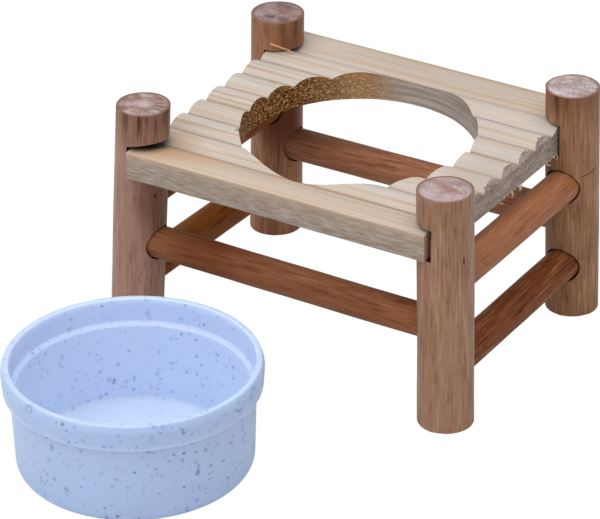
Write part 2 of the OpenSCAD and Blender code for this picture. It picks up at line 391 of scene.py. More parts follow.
def add(tree, kind, inputs=None, stops=None, **settings):
    """Adds a shader node with its settings, its inputs and, on a ramp, its colour stops."""
    made = tree.nodes.new("ShaderNode" + kind)
    for key, value in settings.items():
        setattr(made, key, value)
    plug(tree, made, inputs or {})
    if stops:
        ramp = made.color_ramp.elements
        ramp.remove(ramp[1])
        ramp[0].position = stops[0][0]
        ramp[0].color = linear(stops[0][1])
        for at, colour in stops[1:]:
            ramp.new(at).color = linear(colour)
    return made


def new_material(name):
    """An empty node material, its node tree and its main shader."""
    material = bpy.data.materials.new(name)
    material.use_nodes = True
    return material, material.node_tree, material.node_tree.nodes["Principled BSDF"]


def stretched_noise(tree, place, size, detail, start=(0, 0, 0), turn=(0, 0, 0)):
    """Cloudy noise whose features have the given size in mm along X, Y and Z."""
    mapped = add(
        tree, "Mapping",
        {"Vector": place, "Location": start, "Rotation": turn, "Scale": Vector(size) * MM},
        vector_type="TEXTURE",
    )
    return add(tree, "TexNoise", {"Vector": mapped, "Scale": 1.0, "Detail": detail, "Roughness": 0.6})


def spot(tree, place, at, size, turn, strength):
    """Share of a soft-edged spot: full in its middle, nothing beyond its size. Its place and size are
    in mm, and it is turned in degrees about X, Y and Z."""
    mapped = add(
        tree, "Mapping",
        {
            "Vector": place, "Location": Vector(at) * MM, "Scale": Vector(size) * MM,
            "Rotation": [math.radians(t) for t in turn],
        },
        vector_type="TEXTURE",
    )
    reach = add(tree, "VectorMath", {0: mapped}, operation="LENGTH")
    return add(tree, "MapRange", {"Value": reach, "From Min": 0.4, "To Min": strength, "To Max": 0.0})


def lay_over(tree, colour, layers):
    """Lays colours over a colour, one after the other, each by its share."""
    for share, over in layers:
        colour = add(tree, "Mix", {"Factor": share, "A": colour, "B": over}, data_type="RGBA")
    return colour


# Pieces are modelled with these few functions


def select_only(piece):
    bpy.ops.object.select_all(action="DESELECT")
    piece.select_set(True)
    bpy.context.view_layer.objects.active = piece


def take_name(name):
    """Names the piece that was just added."""
    piece = bpy.context.object
    piece.name = name
    piece.data.name = name
    return piece


def apply(piece, modifier):
    select_only(piece)
    bpy.ops.object.modifier_apply(modifier=modifier.name)


def smooth(piece, angle):
    """Shades a piece smooth, apart from the edges that are sharper than the angle."""
    select_only(piece)
    bpy.ops.object.shade_smooth_by_angle(angle=angle)


def block(size, place, turn=(0, 0, 0)):
    """A block for a saw cut."""
    bpy.ops.object.select_all(action="DESELECT")
    bpy.ops.mesh.primitive_cube_add(size=1, scale=size, location=place, rotation=turn)
    return bpy.context.object


def cut_away(piece, cutter):
    """Takes the cutter's volume out of the piece."""
    cut = piece.modifiers.new("cut", "BOOLEAN")
    cut.operation = "DIFFERENCE"
    cut.solver = "MANIFOLD"
    cut.object = cutter
    apply(piece, cut)
    bpy.data.objects.remove(cutter)


def outline_middle(points):
    """Middle of the box round some points."""
    low = Vector(map(min, zip(*points)))
    high = Vector(map(max, zip(*points)))
    return (low + high) / 2


def node_points(node):
    return [v.co.copy() for v in frame["nodes"][node].data.vertices]


def fit(piece, body, node):
    """Puts a finished piece in the place of its CAD node."""
    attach(piece, body)
    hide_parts(node)


# Camera and stage


def make_camera():
    azimuth = math.radians(CAMERA_AZIMUTH)
    elevation = math.radians(CAMERA_ELEVATION)
    back = Vector((
        math.sin(azimuth) * math.cos(elevation),
        -math.cos(azimuth) * math.cos(elevation),
        math.sin(elevation),
    ))
    data = bpy.data.cameras.new("camera")
    data.lens = CAMERA_LENS
    camera = bpy.data.objects.new("camera", data)
    camera.rotation_mode = "QUATERNION"
    camera.location = CAMERA_TARGET + back * CAMERA_DISTANCE
    roll = Quaternion((0, 0, 1), math.radians(CAMERA_ROLL))
    camera.rotation_quaternion = (-back).to_track_quat("-Z", "Y") @ roll
    bpy.context.scene.collection.objects.link(camera)
    bpy.context.scene.camera = camera


def make_light_box(name, place, diameter, power):
    """A round soft box, aimed at the stand."""
    light = bpy.data.lights.new(name, "AREA")
    light.shape = "DISK"
    light.size = diameter
    light.energy = power
    lamp = bpy.data.objects.new(name, light)
    lamp.location = place
    lamp.rotation_mode = "QUATERNION"
    lamp.rotation_quaternion = (-place).to_track_quat("-Z", "Y")
    bpy.context.scene.collection.objects.link(lamp)


def make_table():
    bpy.ops.object.select_all(action="DESELECT")
    bpy.ops.mesh.primitive_plane_add(size=TABLE_SIZE, location=(0, 0, -TABLE_DROP))
    floor = take_name("floor")
    material, tree, shader = new_material("white_table")
    plug(tree, shader, {"Base Color": TABLE_WHITE, "Roughness": 0.9})
    bleach = add(tree, "Emission", {"Color": "#FFFFFF", "Strength": BLEACH_STRENGTH})
    camera_ray = add(tree, "LightPath").outputs["Is Camera Ray"]
    share = add(tree, "Math", {0: camera_ray, 1: TABLE_BLEACH}, operation="MULTIPLY")
    mix = add(tree, "MixShader", {0: share, 1: shader, 2: bleach})
    plug(tree, tree.nodes["Material Output"], {"Surface": mix})
    floor.data.materials.append(material)


def make_light():
    bpy.context.scene.view_settings.view_transform = "Standard"
    world = bpy.data.worlds.new("studio")
    world.use_nodes = True
    room = world.node_tree.nodes["Background"]
    plug(world.node_tree, room, {"Color": ROOM_COLOUR, "Strength": ROOM_LIGHT})
    bpy.context.scene.world = world
    make_light_box("soft_box", SOFT_BOX_PLACE, SOFT_BOX_D, SOFT_BOX_POWER)
    make_light_box("fill_box", FILL_BOX_PLACE, FILL_BOX_D, FILL_BOX_POWER)


# Wood of the branches


def top_stains(tree, place, stain, start, turn, top_z):
    """Layers of the stain under a sawn top: an even veil, and dark runs along the fibres."""
    height = add(tree, "SeparateXYZ", {"Vector": place}).outputs["Z"]
    near_top = add(
        tree, "MapRange",
        {"Value": height, "From Min": top_z - STAIN_REACH, "From Max": top_z - STAIN_FULL},
    )
    veil = add(tree, "Math", {0: near_top, 1: STAIN_VEIL * stain}, operation="MULTIPLY")
    runs = stretched_noise(tree, place, (2.2, 2.2, 70), 4.0, start, turn)
    run_share = add(tree, "MapRange", {"Value": runs, "From Min": 0.5, "From Max": 0.64, "To Max": stain})
    run = add(tree, "Math", {0: run_share, 1: near_top}, operation="MULTIPLY")
    return [(veil, VEIL_BROWN), (run, RUN_BROWN)]


def peeled_branch(name, node, tones, start, turn, split, gloss, sheen=0.0, stain=0.0, top_z=0.0):
    """Hardwood branch with the bark scraped off by hand: fine fibre streaks, broad cloudy patches, short
    dark splits, knots in places, red-brown patches in places that are partly inner bark and partly painted
    shade under the board, and on a leg a skin that pales at a low angle."""
    dark, main, pale = tones
    material, tree, shader = new_material(name)
    place = add(tree, "TexCoord").outputs["Object"]
    fibres = stretched_noise(tree, place, (0.7, 0.7, 16), 4.0, start, turn)
    patches = stretched_noise(tree, place, (5, 5, 24), 4.0, start, turn)
    splits = stretched_noise(tree, place, (0.8, 0.8, 7), 1.0, start, turn)
    blend = add(tree, "Mix", {"Factor": 0.4, "A": fibres, "B": patches}, data_type="FLOAT")
    tone = add(
        tree, "ValToRGB", {"Fac": blend},
        stops=[(0.37, dark), (0.48, main), (0.53, main), (0.62, pale)],
    )
    split_share = add(
        tree, "MapRange", {"Value": splits, "From Min": 0.62, "From Max": 0.74, "To Max": split}
    )
    layers = [(split_share, SPLIT_BROWN)]
    if stain:
        layers += top_stains(tree, place, stain, start, turn, top_z)
    # Red-brown patches are partly inner bark and partly painted shade below the board
    for marks, brown in ((BROWN_AND_SHADE_PATCHES, BROWN_AND_SHADE_TONE), (BRANCH_MARKS, KNOT_BROWN)):
        for at, size, mark_turn, strength in marks.get(node, ()):
            layers.append((spot(tree, place, at, size, (mark_turn, 0, 0), strength), brown))
    plug(tree, shader, {
        "Base Color": lay_over(tree, tone, layers),
        "Normal": add(tree, "Bump", {"Strength": 0.4, "Distance": 0.2 * MM, "Height": fibres}),
        "Roughness": 0.55,
        "Specular IOR Level": gloss,
        "Sheen Weight": sheen,
        "Sheen Roughness": 0.4,
    })
    return material


def sawn_end_grain(name, tones, top, radius, pith, marks):
    """End of a hardwood branch cut by a fine saw and weathered: pinkish grey end grain in soft clouds,
    faint rings and pale rays round the pith, cracks that run out from it, stains, and a thin brown
    line of inner bark at the rim."""
    dark, main, pale = tones
    material, tree, shader = new_material(name)
    place = add(tree, "TexCoord").outputs["Object"]
    from_pith = add(
        tree, "Mapping",
        {"Vector": place, "Location": top + Vector((*pith, 0)) * MM, "Scale": ACROSS_THE_END},
        vector_type="TEXTURE",
    )
    rings = add(
        tree, "TexWave",
        {
            "Vector": from_pith, "Scale": WAVE_REPEAT / RING_W, "Distortion": 2.5, "Detail": 2.0,
            "Detail Scale": 0.3,
        },
        wave_type="RINGS", rings_direction="Z",
    )
    clouds = stretched_noise(tree, place, (11, 7, 8), 4.0)
    specks = stretched_noise(tree, place, (0.9, 0.9, 0.9), 2.0)
    cloudy = add(tree, "Mix", {"Factor": 0.25, "A": clouds, "B": specks}, data_type="FLOAT")
    blend = add(
        tree, "Mix", {"Factor": 0.03, "A": cloudy, "B": rings.outputs["Fac"]}, data_type="FLOAT"
    )
    tone = add(tree, "ValToRGB", {"Fac": blend}, stops=[(0.41, dark), (0.5, main), (0.6, pale)])
    angle = add(tree, "TexGradient", {"Vector": from_pith}, gradient_type="RADIAL").outputs["Fac"]
    around = add(tree, "TexNoise", {"W": angle, "Scale": RAYS_ROUND}, noise_dimensions="1D")
    ray = add(tree, "MapRange", {"Value": around, "From Min": 0.44, "From Max": 0.34, "To Max": 0.5})
    crack = add(tree, "MapRange", {"Value": around, "From Min": 0.62, "From Max": 0.7, "To Max": 0.22})
    layers = [(ray, pale), (crack, END_BROWN)]
    for (right, back), (width, depth), turn, strength, stain in marks:
        at = top / MM + Vector((right, back, 0))
        mark = spot(tree, place, at, (width, depth, TOP_MARK_DEPTH), (0, 0, turn), strength)
        layers.append((mark, stain))
    level = add(
        tree, "Mapping", {"Vector": place, "Location": top, "Scale": ACROSS_THE_END}, vector_type="TEXTURE"
    )
    from_axis = add(tree, "VectorMath", {0: level}, operation="LENGTH")
    line_start, line_full = (radius / MM - inset for inset in BARK_LINE)
    rim = add(
        tree, "MapRange",
        {"Value": from_axis, "From Min": line_start, "From Max": line_full, "To Max": 0.85},
    )
    layers.append((rim, END_BROWN))
    plug(tree, shader, {
        "Base Color": lay_over(tree, tone, layers),
        "Normal": add(tree, "Bump", {"Strength": 0.3, "Distance": 0.2 * MM, "Height": cloudy}),
        "Roughness": 0.75,
    })
    return material


def socket_wall_painted_shade():
    """Hardwood wall of a drilled socket or a sawn housing: dull, mottled near-black to dark red-brown as
    painted shade, standing in for the shade inside the gaps."""
    material, tree, shader = new_material("socket_wall_painted_shade")
    place = add(tree, "TexCoord").outputs["Object"]
    gap_shade = stretched_noise(tree, place, (1.4, 1.4, 3.5), 3.0)
    plug(tree, shader, {
        "Base Color": add(tree, "ValToRGB", {"Fac": gap_shade}, stops=[(0.38, "#1C0903"), (0.64, "#45200F")]),
        "Normal": add(tree, "Bump", {"Strength": 0.4, "Distance": 0.2 * MM, "Height": gap_shade}),
        "Roughness": 0.9,
        "Specular IOR Level": 0.1,
    })
    return material


# Wood of the board


def sawn_front(tree, coords):
    """Layers of the board's front face, which was sawn: an even grey, and short torn fibres."""
    facing = add(tree, "SeparateXYZ", {"Vector": coords.outputs["Normal"]}).outputs["Y"]
    front = add(tree, "MapRange", {"Value": facing, "From Min": -0.6, "From Max": -0.9})
    even = add(tree, "Math", {0: front, 1: 0.55}, operation="MULTIPLY")
    torn = stretched_noise(tree, coords.outputs["Object"], (6, 0.8, 0.7), 3.0)
    fuzz = add(
        tree, "MapRange",
        {"Value": torn, "From Min": 0.35, "From Max": 0.65, "To Min": 0.22, "To Max": 0.8},
    )
    fuzzy = add(tree, "Math", {0: front, 1: fuzz}, operation="MULTIPLY")
    return [(even, FRONT_GREY), (fuzzy, TORN_BROWN)]


def flute_lines(tree, place):
    """Layer of thin brown lines along the valleys between the flutes."""
    along = add(tree, "SeparateXYZ", {"Vector": place})
    from_first = add(tree, "Math", {0: along.outputs["Y"], 1: FLUTES_START}, operation="SUBTRACT")
    flute = add(tree, "Math", {0: from_first, 1: FLUTE_PITCH}, operation="DIVIDE")
    nearest = add(tree, "Math", {0: flute, 1: 0.5}, operation="PINGPONG")
    share = add(
        tree, "MapRange",
        {"Value": nearest, "From Max": FLUTE_LINE_W / FLUTE_PITCH, "To Min": 0.8, "To Max": 0.0},
    )
    last = FLUTE_COUNT + FLUTE_MARGIN
    for limit in (
        add(tree, "Math", {0: flute, 1: -FLUTE_MARGIN}, operation="GREATER_THAN"),
        add(tree, "Math", {0: flute, 1: last}, operation="LESS_THAN"),
        add(tree, "Math", {0: along.outputs["Z"], 1: VALLEY_Z}, operation="GREATER_THAN"),
    ):
        share = add(tree, "Math", {0: share, 1: limit}, operation="MULTIPLY")
    return [(share, FLUTE_BROWN)]


def worn_arrises(tree, place):
    """Layers of the tan arris along the board's upper front edge, and of the one along its back."""
    low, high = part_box("top_board")
    along = add(tree, "SeparateXYZ", {"Vector": place})
    full, end = FRONT_ARRIS
    front = add(
        tree, "MapRange",
        {
            "Value": along.outputs["Y"], "From Min": low.y + full, "From Max": low.y + end,
            "To Min": 0.4, "To Max": 0.0,
        },
    )
    start_z, full_z = FRONT_ARRIS_Z
    upper = add(
        tree, "MapRange", {"Value": along.outputs["Z"], "From Min": start_z, "From Max": full_z}
    )
    upper_front = add(tree, "Math", {0: front, 1: upper}, operation="MULTIPLY")
    full, end = BACK_ARRIS
    back = add(
        tree, "MapRange",
        {"Value": along.outputs["Y"], "From Min": high.y - end, "From Max": high.y - full, "To Max": 0.6},
    )
    return [(upper_front, FRONT_ARRIS_TAN), (back, BACK_ARRIS_TAN)]


def marks_and_painted_shading(tree, place, marks):
    """Layers of the marks on the board, among them painted light and a painted shadow."""
    return [
        (spot(tree, place, at, size, (0, 0, 0), strength), stain) for at, size, strength, stain in marks
    ]


def planed_fir():
    """Planed fir board: pale grey-beige early wood with broad bands and thin tan late-wood lines that
    run along the board, a brown line between two flutes, a fuzzy sawn front face, and tan arrises."""
    material, tree, shader = new_material("planed_fir")
    coords = add(tree, "TexCoord")
    place = coords.outputs["Object"]
    growth = stretched_noise(tree, place, (130, 2.4, 2.8), 3.0)
    bands = stretched_noise(tree, place, (260, 10, 12), 2.0)
    lines = stretched_noise(tree, place, (170, 1.3, 1.6), 2.0)
    fibres = stretched_noise(tree, place, (18, 0.5, 0.5), 3.0)
    blend = add(tree, "Mix", {"Factor": 0.35, "A": growth, "B": bands}, data_type="FLOAT")
    tone = add(
        tree, "ValToRGB", {"Fac": blend},
        stops=[(0.36, "#B0A9A3"), (0.47, "#B8AFA7"), (0.57, "#B7A697"), (0.67, "#AC917A")],
    )
    line = add(tree, "MapRange", {"Value": lines, "From Min": 0.57, "From Max": 0.66, "To Max": 0.55})
    fine = add(tree, "MapRange", {"Value": fibres, "From Min": 0.3, "From Max": 0.7, "To Max": 0.25})
    layers = [(line, LATE_WOOD), (fine, FIBRE_GREY)]
    layers += sawn_front(tree, coords)
    layers += flute_lines(tree, place)
    layers += worn_arrises(tree, place)
    # Among the board's marks, tan patches by the front left leg are painted light and a near-black spot
    # under its top is painted shadow
    layers += marks_and_painted_shading(tree, place, BOARD_MARKS_AND_PAINTED_SHADING)
    plug(tree, shader, {
        "Base Color": lay_over(tree, tone, layers),
        "Normal": add(tree, "Bump", {"Strength": 0.4, "Distance": 0.15 * MM, "Height": fibres}),
        "Roughness": 0.65,
        "Specular IOR Level": 0.3,
    })
    return material


def sawn_fir_end():
    """Fir cut across by a coarse saw: rough grey-brown end grain, lined by its growth layers,
    with pale torn tufts."""
    material, tree, shader = new_material("sawn_fir_end_grain")
    place = add(tree, "TexCoord").outputs["Object"]
    growth = stretched_noise(tree, place, (130, 14, 2.4), 2.0)
    tufts = stretched_noise(tree, place, (0.9, 0.9, 0.9), 3.0)
    blend = add(tree, "Mix", {"Factor": 0.6, "A": growth, "B": tufts}, data_type="FLOAT")
    tone = add(
        tree, "ValToRGB", {"Fac": blend},
        stops=[(0.34, "#665951"), (0.5, "#95867B"), (0.68, "#BCADA2")],
    )
    plug(tree, shader, {
        # The tan patch on the end in the front leg's housing is painted light against the shade there
        "Base Color": lay_over(tree, tone, marks_and_painted_shading(tree, place, END_TAN_AND_PAINTED_LIGHT)),
        "Normal": add(tree, "Bump", {"Strength": 0.8, "Distance": 0.5 * MM, "Height": tufts}),
        "Roughness": 0.85,
        "Specular IOR Level": 0.2,
    })
    return material


def routed_hole_wall():
    """Fir wall of the routed hole: where the cutter crossed the fibres it is scorched golden brown,
    with pale torn pores, and where it ran along them it is smooth and grey."""
    material, tree, shader = new_material("routed_fir_hole_wall")
    coords = add(tree, "TexCoord")
    place = coords.outputs["Object"]
    pores = stretched_noise(tree, place, (1.3, 1.5, 0.65), 2.0)
    scorched = add(
        tree, "ValToRGB", {"Fac": pores},
        stops=[(0.38, "#361602"), (0.46, "#5E360E"), (0.54, "#7F5220"), (0.66, "#CC9E66")],
    )
    growth = stretched_noise(tree, place, (40, 30, 1.6), 2.0)
    grey = add(tree, "ValToRGB", {"Fac": growth}, stops=[(0.38, "#8E8178"), (0.64, "#ACA096")])
    facing = add(tree, "SeparateXYZ", {"Vector": coords.outputs["Normal"]}).outputs["X"]
    golden = add(tree, "MapRange", {"Value": facing, "From Min": 0.9, "From Max": 0.5, "To Max": 0.42})
    across = add(tree, "MapRange", {"Value": facing, "From Min": 0.12, "From Max": 0.42})
    crossed = lay_over(tree, scorched, [(golden, "#CAA47B")])
    plug(tree, shader, {
        "Base Color": lay_over(tree, grey, [(across, crossed)]),
        "Normal": add(tree, "Bump", {"Strength": 0.7, "Distance": 0.4 * MM, "Height": pores}),
        "Roughness": 0.8,
        "Specular IOR Level": 0.2,
    })
    return material


def torn_fibre(name, dark, pale):
    """Raw wood fibres torn up by a saw: mottled and dull."""
    material, tree, shader = new_material(name)
    place = add(tree, "TexCoord").outputs["Object"]
    fibres = stretched_noise(tree, place, (1.2, 1.2, 1.2), 2.0)
    plug(tree, shader, {
        "Base Color": add(tree, "ValToRGB", {"Fac": fibres}, stops=[(0.35, dark), (0.65, pale)]),
        "Roughness": 0.9,
    })
    return material


# Plastic of the bowl


def flecks(tree, place, cell, largest, faintest, darkest):
    """Share of dark flecks: one ragged fleck in each cell, of its own size and strength, and larger
    in some places than in others. The cell is in mm, and the largest fleck is a share of it."""
    mapped = add(tree, "Mapping", {"Vector": place, "Scale": [cell * MM] * 3}, vector_type="TEXTURE")
    ragged = add(tree, "TexNoise", {"Vector": mapped, "Scale": 3.0, "Detail": 1.0}).outputs["Color"]
    bent = add(tree, "VectorMath", {0: ragged, 1: (0.5, 0.5, 0.5), 2: mapped}, operation="MULTIPLY_ADD")
    cells = add(tree, "TexVoronoi", {"Vector": bent, "Scale": 1.0, "Randomness": 1.0})
    draw = add(tree, "SeparateColor", {"Color": cells.outputs["Color"]})
    crowd = stretched_noise(tree, place, (9, 9, 9), 1.0)
    most = add(
        tree, "MapRange",
        {
            "Value": crowd, "From Min": 0.35, "From Max": 0.62,
            "To Min": 0.6 * largest, "To Max": 1.15 * largest,
        },
    )
    size = add(tree, "MapRange", {"Value": draw.outputs["Red"], "From Min": 0.15, "To Max": most})
    inside = add(tree, "Math", {0: size, 1: cells.outputs["Distance"]}, operation="SUBTRACT")
    fleck = add(tree, "MapRange", {"Value": inside, "From Max": 0.2})
    veil = add(tree, "MapRange", {"Value": draw.outputs["Green"], "To Min": faintest, "To Max": darkest})
    return add(tree, "Math", {0: fleck, 1: veil}, operation="MULTIPLY")


def speckled_plastic(axis):
    """Moulded polypropylene with ground stone flakes: even pale blue with a satin skin, painted paler
    inside and paler still on the floor as painted light, and scattered dark flecks, the deeper ones veiled
    by the plastic over them."""
    material, tree, shader = new_material("speckled_polypropylene")
    coords = add(tree, "TexCoord")
    place = coords.outputs["Object"]
    normal = coords.outputs["Normal"]
    from_middle = add(tree, "VectorMath", {0: place, 1: axis}, operation="SUBTRACT")
    level = add(tree, "VectorMath", {0: from_middle, 1: (1, 1, 0)}, operation="MULTIPLY")
    outward = add(tree, "VectorMath", {0: level}, operation="NORMALIZE")
    facing = add(tree, "VectorMath", {0: outward, 1: normal}, operation="DOT_PRODUCT")
    inside = add(tree, "MapRange", {"Value": facing, "From Min": 0.3, "From Max": -0.6})
    height = add(tree, "SeparateXYZ", {"Vector": place}).outputs["Z"]
    low_down = add(
        tree, "MapRange", {"Value": height, "From Min": BOWL_WALL + FLOOR_FADE, "From Max": BOWL_WALL}
    )
    upward = add(tree, "SeparateXYZ", {"Vector": normal}).outputs["Z"]
    on_floor = add(tree, "Math", {0: low_down, 1: upward}, operation="MULTIPLY", use_clamp=True)
    on_wall = add(tree, "MapRange", {"Value": inside, "To Min": 1.0, "To Max": FLECKS_INSIDE})
    shown = add(tree, "MapRange", {"Value": on_floor, "To Min": on_wall, "To Max": FLECKS_ON_FLOOR})
    # Painted light: the inside and the floor get paler tones of the same plastic
    layers = [(inside, BOWL_INSIDE_PAINTED_LIGHT), (on_floor, BOWL_FLOOR_PAINTED_LIGHT)]
    veiled = flecks(tree, place, 3.0, 0.52, 0.1, 0.42)
    near = flecks(tree, place, 2.5, 0.4, 0.15, 0.82)
    for share in (veiled, near):
        layers.append((add(tree, "Math", {0: share, 1: shown}, operation="MULTIPLY"), FLECK_BLUE))
    plug(tree, shader, {
        "Base Color": lay_over(tree, BOWL_OUTSIDE, layers),
        "Subsurface Weight": 0.8,
        "Subsurface Radius": (1.5, 1.2, 0.8),
        "Subsurface Scale": 8 * MM,
        "Roughness": 0.45,
        "Specular IOR Level": 0.4,
    })
    return material


# Branches


def swell_texture():
    texture = bpy.data.textures.new("branch_swell", "CLOUDS")
    texture.noise_scale = BRANCH_SWELL_SIZE
    texture.noise_depth = 2
    return texture


def round_branch(name, start, end, radius, overrun, number, texture):
    """A branch from start to end: drawn up short ring by ring, swollen and sunk, then drawn out, so that
    its bumps become long flats. It runs past both ends by the overrun. Each branch is swollen a metre
    further along the texture, by its number, so that no two are alike."""
    axis = end - start
    length = axis.length + 2 * overrun
    step = length / BRANCH_DRAW_OUT / BRANCH_RINGS
    bpy.ops.object.select_all(action="DESELECT")
    bpy.ops.mesh.primitive_circle_add(
        vertices=BRANCH_SIDES, radius=radius, fill_type="NGON", location=(number, 0, 0)
    )
    branch = take_name(name)
    bpy.ops.object.mode_set(mode="EDIT")
    for _ in range(BRANCH_RINGS):
        bpy.ops.mesh.extrude_region_move(TRANSFORM_OT_translate={"value": (0, 0, step)})
    bpy.ops.mesh.select_all(action="SELECT")
    bpy.ops.mesh.normals_make_consistent(inside=False)
    bpy.ops.object.mode_set(mode="OBJECT")
    swell = branch.modifiers.new("swell", "DISPLACE")
    swell.texture = texture
    swell.texture_coords = "GLOBAL"
    swell.strength = BRANCH_SWELL
    apply(branch, swell)
    turn = axis.to_track_quat("Z", "Y")
    branch.scale.z = BRANCH_DRAW_OUT
    branch.rotation_mode = "QUATERNION"
    branch.rotation_quaternion = turn
    branch.location = start - axis.normalized() * overrun
    bpy.ops.object.transform_apply(location=True, rotation=True, scale=True)
    return branch, turn.to_euler()


def rung_line(node):
    """The two end points of a rung's axis, and its radius."""
    points = node_points(node)
    middle = outline_middle(points)
    low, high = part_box(node)
    way = Vector((1, 0, 0)) if high.x - low.x > high.y - low.y else Vector((0, 1, 0))
    start = outline_middle([p for p in points if (p - middle).dot(way) < 0])
    end = outline_middle([p for p in points if (p - middle).dot(way) > 0])
    return start, end, (high.z - low.z) / 2


def leg_line(node):
    """Foot and top points of a leg's axis, and its radius."""
    points = node_points(node)
    low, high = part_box(node)
    foot_ring = [p for p in points if p.z - low.z < SAME_LEVEL]
    foot = outline_middle(foot_ring)
    top = outline_middle([p for p in points if high.z - p.z < SAME_LEVEL])
    return foot, top, max(p.y for p in foot_ring) - foot.y


def saw_level(leg, foot, top):
    """Saws both ends of a leg level, and eases their rims."""
    bpy.ops.object.mode_set(mode="EDIT")
    bpy.ops.mesh.select_all(action="SELECT")
    bpy.ops.mesh.bisect(plane_co=foot, plane_no=(0, 0, 1), use_fill=True, clear_inner=True)
    bpy.ops.mesh.bevel(offset=LEG_FOOT_EASE, segments=2, affect="EDGES", clamp_overlap=True)
    bpy.ops.mesh.select_all(action="SELECT")
    bpy.ops.mesh.bisect(plane_co=top, plane_no=(0, 0, 1), use_fill=True, clear_outer=True)
    bpy.ops.mesh.bevel(offset=LEG_TOP_EASE, segments=3, affect="EDGES", clamp_overlap=True)
    bpy.ops.object.mode_set(mode="OBJECT")


def housing_cutter(node, foot, top, radius):
    """Saw cut for a board corner, from the leg's axis inwards."""
    board_low, board_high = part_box("top_board")
    mid_z = (board_low.z + board_high.z) / 2
    axis = foot + (top - foot) * (mid_z / top.z)
    inward = 1 if axis.x < 0 else -1
    wall = board_low.x - CLOSE_HOUSING_GAP if node == CLOSE_HOUSING else axis.x
    width = SAW_CUT_W * radius
    height = board_high.z - board_low.z + HOUSING_ROOM[node]
    middle = Vector((wall + inward * width / 2, axis.y, board_low.z + height / 2))
    return block((width, 2 * width, height), middle)


def slant_cutter(node, foot, top, radius):
    """Second saw cut of a housing: its ceiling rises from the housing's front corner at the wall."""
    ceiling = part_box("top_board")[1].z + HOUSING_ROOM[node]
    axis = foot + (top - foot) * (ceiling / top.z)
    width = SAW_CUT_W * radius
    rise_x, rise_y = SLANT_RISE
    slope = Matrix.Rotation(-math.atan(rise_x), 3, "Y")
    tilt = Matrix.Rotation(math.atan(rise_y * math.cos(math.atan(rise_x))), 3, "X")
    corner = Vector((axis.x, axis.y - radius, ceiling))
    middle = corner + slope @ tilt @ Vector((width / 2, width / 2, -SLANT_CUT_H / 2))
    return block((width, 2 * width, SLANT_CUT_H), middle, (slope @ tilt).to_euler())


def socket_cutter(start, end, radius):
    """Round cutter for the socket at a rung's start."""
    way = (end - start).normalized()
    length = (end - start).length / 2
    bpy.ops.object.select_all(action="DESELECT")
    bpy.ops.mesh.primitive_cylinder_add(
        vertices=BRANCH_SIDES, radius=radius + SOCKET_CLEARANCE, depth=length,
        location=start + way * (length / 2 - SOCKET_END_GAP),
        rotation=way.to_track_quat("Z", "Y").to_euler(),
    )
    return bpy.context.object


def drill_sockets(leg, node):
    """Drills a leg for each rung that ends in it."""
    for rung, (first, second) in RUNGS.items():
        start, end, radius = rung_line(rung)
        if node == first:
            cut_away(leg, socket_cutter(start, end, radius))
        if node == second:
            cut_away(leg, socket_cutter(end, start, radius))


def make_leg(number, node, texture, socket_wall):
    """A leg: a leaning branch, sawn level at both ends, eased at the rims, housed and drilled."""
    foot, top, radius = leg_line(node)
    leg, turn = round_branch(node + "_branch", foot, top, radius, LEG_SAW_MARGIN, number, texture)
    saw_level(leg, foot, top)
    cut_away(leg, housing_cutter(node, foot, top, radius))
    if node == SLANTED_HOUSING:
        cut_away(leg, slant_cutter(node, foot, top, radius))
    drill_sockets(leg, node)
    leg.data.materials.clear()
    leg.data.materials.append(peeled_branch(
        node + "_peeled_hardwood", node, LEG_TONES[node], foot, turn, LEG_SPLITS, LEG_GLOSS,
        LEG_SHEEN, TOP_STAINS[node], top.z,
    ))
    leg.data.materials.append(sawn_end_grain(
        node + "_sawn_end_grain", END_TONES[node], top, radius, PITHS[node], TOP_MARKS[node]
    ))
    # Walls of the sockets and housings are painted dark, as painted shade
    leg.data.materials.append(socket_wall)
    skin_slot, sawn_slot, socket_slot = range(3)
    axis = (top - foot).normalized()
    for face in leg.data.polygons:
        at_end = face.center.z > top.z - SAWN_REACH or face.center.z < SAWN_REACH
        if at_end and abs(face.normal.z) > SAWN_UPRIGHT:
            face.material_index = sawn_slot
        elif (face.center - foot).cross(axis).length < radius - SKIN_DEPTH:
            face.material_index = socket_slot
        else:
            face.material_index = skin_slot
    smooth(leg, BRANCH_SMOOTH)
    fit(leg, "stand", node)


def make_rung(number, node, texture):
    start, end, radius = rung_line(node)
    rung, turn = round_branch(node + "_branch", start, end, radius, 0.0, number, texture)
    rung.data.materials.append(peeled_branch(
        node + "_peeled_hardwood", node, RUNG_TONES[node], start, turn, RUNG_SPLITS[node], RUNG_GLOSS
    ))
    smooth(rung, BRANCH_SMOOTH)
    fit(rung, "stand", node)


# Board


def sliced_board():
    """A copy of the CAD board, merged to one skin and sliced along its length."""
    mesh = frame["nodes"]["top_board"].data.copy()
    mesh.name = "fluted_board"
    board = bpy.data.objects.new("fluted_board", mesh)
    bpy.context.scene.collection.objects.link(board)
    select_only(board)
    low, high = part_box("top_board")
    slices = round((high.x - low.x) / BOARD_SLICE)
    bpy.ops.object.mode_set(mode="EDIT")
    bpy.ops.mesh.select_all(action="SELECT")
    bpy.ops.mesh.customdata_custom_splitnormals_clear()
    bpy.ops.mesh.remove_doubles(threshold=BOARD_MERGE)
    bpy.ops.mesh.dissolve_limited(angle_limit=BOARD_FLAT)
    for k in range(1, slices):
        bpy.ops.mesh.select_all(action="SELECT")
        x = low.x + (high.x - low.x) * k / slices
        bpy.ops.mesh.bisect(plane_co=(x, 0, 0), plane_no=(1, 0, 0))
    bpy.ops.object.mode_set(mode="OBJECT")
    return board


